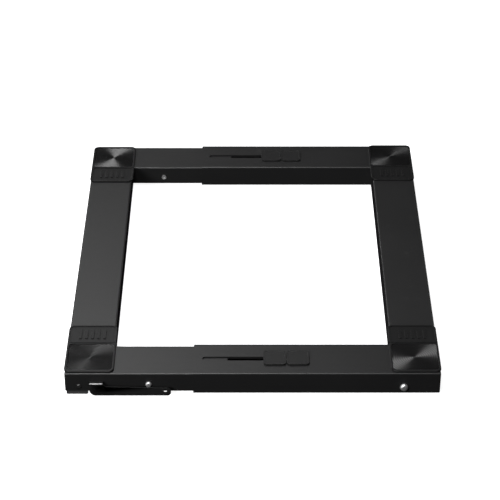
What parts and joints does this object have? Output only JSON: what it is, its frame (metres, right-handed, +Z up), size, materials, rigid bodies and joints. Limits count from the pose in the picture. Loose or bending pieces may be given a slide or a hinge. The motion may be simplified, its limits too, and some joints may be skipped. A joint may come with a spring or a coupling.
{
  "type": "appliance roller base",
  "caption": "Low telescoping rectangular frame of folded steel with corner pads, feet, rollers and a foot lever that lowers the rollers of one side, to carry a household appliance.",
  "frame": {"origin": "on the floor under the middle of the whole base", "axes": "+X across the width from the arms' half to the sleeves' half, +Y from the lever side to the back, +Z up"},
  "size_m": [0.5136, 0.6124, 0.0409],
  "materials": {
    "frame_steel": "satin black powder coat",
    "pad_rubber": "matt black moulded rubber with fine grooves",
    "foot_rubber": "dark grey rubber",
    "bright_steel": "bright zinc plated",
    "black_screw": "black oxide",
    "shaft_steel": "turned steel",
    "gear_steel": "black painted pressed steel",
    "roller_core_plastic": "black nylon",
    "roller_tread_rubber": "black rubber",
    "cap_plastic": "black moulded plastic",
    "bush_plastic": "grey nylon"
  },
  "bodies": {
    "left_frame": {"left_front_arm": "frame_steel", "left_rear_arm": "frame_steel", "left_side_rail": "frame_steel", "front_left_pad": "pad_rubber", "rear_left_pad": "pad_rubber", "front_left_foot": "foot_rubber", "rear_left_foot": "foot_rubber", "foot_screws": "black_screw", "front_pivot_bolt": "bright_steel", "rear_pivot_bolt": "bright_steel", "pivot_rings": "bright_steel", "pivot_spacers": "shaft_steel", "shaft_bushes": "bush_plastic"},
    "right_frame": {"right_front_sleeve": "frame_steel", "right_rear_sleeve": "frame_steel", "right_side_rail": "frame_steel", "front_right_pad": "pad_rubber", "rear_right_pad": "pad_rubber", "front_axle_bolt": "bright_steel", "rear_axle_bolt": "bright_steel", "axle_nuts": "shaft_steel", "axle_spacers": "shaft_steel"},
    "lever_gear": {"foot_lever": "frame_steel", "cross_shaft": "shaft_steel", "shaft_clips": "shaft_steel", "front_crank": "gear_steel", "rear_crank": "gear_steel", "crank_pins": "shaft_steel"},
    "front_rocker_arm": {"front_rocker": "gear_steel", "front_roller_rivet": "shaft_steel"},
    "front_left_roller": {"front_left_roller_core": "roller_core_plastic", "front_left_roller_tread": "roller_tread_rubber"},
    "front_right_roller": {"front_right_roller_core": "roller_core_plastic", "front_right_roller_tread": "roller_tread_rubber"},
    "front_clamp": {"front_cap_left": "cap_plastic", "front_cap_right": "cap_plastic", "front_clamp_screws": "shaft_steel", "front_clamp_plate": "shaft_steel"},
    "rear_rocker_arm": {"rear_rocker": "gear_steel", "rear_roller_rivet": "shaft_steel"},
    "rear_left_roller": {"rear_left_roller_core": "roller_core_plastic", "rear_left_roller_tread": "roller_tread_rubber"},
    "rear_right_roller": {"rear_right_roller_core": "roller_core_plastic", "rear_right_roller_tread": "roller_tread_rubber"},
    "rear_clamp": {"rear_cap_left": "cap_plastic", "rear_cap_right": "cap_plastic", "rear_clamp_screws": "shaft_steel", "rear_clamp_plate": "shaft_steel"}
  },
  "joints": [
    {"name": "width_slide", "type": "slide", "parent": "left_frame", "child": "right_frame", "axis": [1, 0, 0], "range_m": [-0.05, 0.05]},
    {"name": "foot_lever_turn", "type": "hinge", "parent": "left_frame", "child": "lever_gear", "pos_m": [-0.2128, 0.0003, 0.014], "axis": [0, -1, 0], "range_deg": [0, 45]},
    {"name": "front_rocker_swing", "type": "hinge", "parent": "left_frame", "child": "front_rocker_arm", "pos_m": [-0.1416, -0.268, 0.0185], "axis": [0, 1, 0], "range_deg": [0, 6.2]},
    {"name": "front_left_roller_spin", "type": "hinge", "parent": "front_rocker_arm", "child": "front_left_roller", "pos_m": [-0.1096, -0.268, 0.0175], "axis": [0, 1, 0], "continuous": true},
    {"name": "front_right_roller_spin", "type": "hinge", "parent": "right_frame", "child": "front_right_roller", "pos_m": [0.2065, -0.268, 0.015], "axis": [0, 1, 0], "continuous": true},
    {"name": "front_clamp_slide", "type": "slide", "parent": "right_frame", "child": "front_clamp", "axis": [1, 0, 0], "range_m": [-0.012, 0.01]},
    {"name": "rear_rocker_swing", "type": "hinge", "parent": "left_frame", "child": "rear_rocker_arm", "pos_m": [-0.1416, 0.2686, 0.0185], "axis": [0, 1, 0], "range_deg": [0, 6.2]},
    {"name": "rear_left_roller_spin", "type": "hinge", "parent": "rear_rocker_arm", "child": "rear_left_roller", "pos_m": [-0.1096, 0.2686, 0.0175], "axis": [0, 1, 0], "continuous": true},
    {"name": "rear_right_roller_spin", "type": "hinge", "parent": "right_frame", "child": "rear_right_roller", "pos_m": [0.2065, 0.2686, 0.015], "axis": [0, 1, 0], "continuous": true},
    {"name": "rear_clamp_slide", "type": "slide", "parent": "right_frame", "child": "rear_clamp", "axis": [1, 0, 0], "range_m": [-0.012, 0.01]}
  ],
  "couplings": [
    {"joint": "front_rocker_swing", "follows": "foot_lever_turn", "ratio": 0.137},
    {"joint": "rear_rocker_swing", "follows": "foot_lever_turn", "ratio": 0.137}
  ]
}
